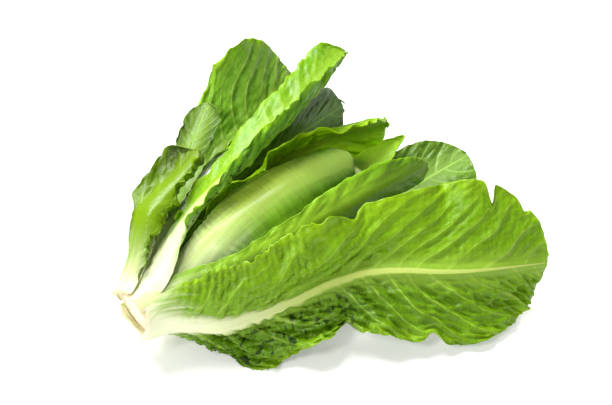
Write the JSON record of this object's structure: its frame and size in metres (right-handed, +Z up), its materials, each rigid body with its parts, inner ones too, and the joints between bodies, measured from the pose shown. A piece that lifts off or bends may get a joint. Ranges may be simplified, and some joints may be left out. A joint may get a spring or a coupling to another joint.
{
  "type": "romaine lettuce head",
  "caption": "Romaine lettuce head lying on its side: a cut core with upright ribbed leaves wrapped round a pale heart, the outer leaves fallen open in a fan.",
  "frame": {"origin": "middle of the head's box, on the surface that it lies on", "axes": "+Z up as it lies; +X along the longest side of the box, from the cut end to the leaf tips; +Y to the side where the upper leaves fall open, away from the largest outer leaf"},
  "size_m": [0.2868, 0.1938, 0.1411],
  "materials": {
    "core_flesh": "cut moist stem flesh, cream with a browned rim",
    "heart_leaf": "pale crisp heart leaf, waxy",
    "inner_leaf": "light green leaf with a pale rib, waxy",
    "outer_leaf": "full green blistered leaf with pale veins, waxy"
  },
  "bodies": {
    "root": {"core_stem": "core_flesh", "heart_leaf_1": "heart_leaf", "heart_leaf_2": "heart_leaf", "heart_leaf_3": "heart_leaf", "heart_leaf_4": "heart_leaf", "heart_leaf_5": "heart_leaf", "heart_leaf_pale": "heart_leaf", "back_leaf_small": "inner_leaf", "back_leaf_ruffled": "inner_leaf", "front_leaf_folded": "inner_leaf", "back_leaf_round": "inner_leaf", "back_leaf_dark": "outer_leaf", "under_leaf_inner": "outer_leaf", "upper_leaf_long": "outer_leaf", "upper_leaf_broad": "outer_leaf", "left_leaf_back": "outer_leaf", "left_leaf_short": "outer_leaf", "left_leaf_curled": "outer_leaf", "under_leaf_middle": "outer_leaf", "under_leaf_outer": "outer_leaf", "front_outer_leaf": "outer_leaf"}
  },
  "joints": []
}
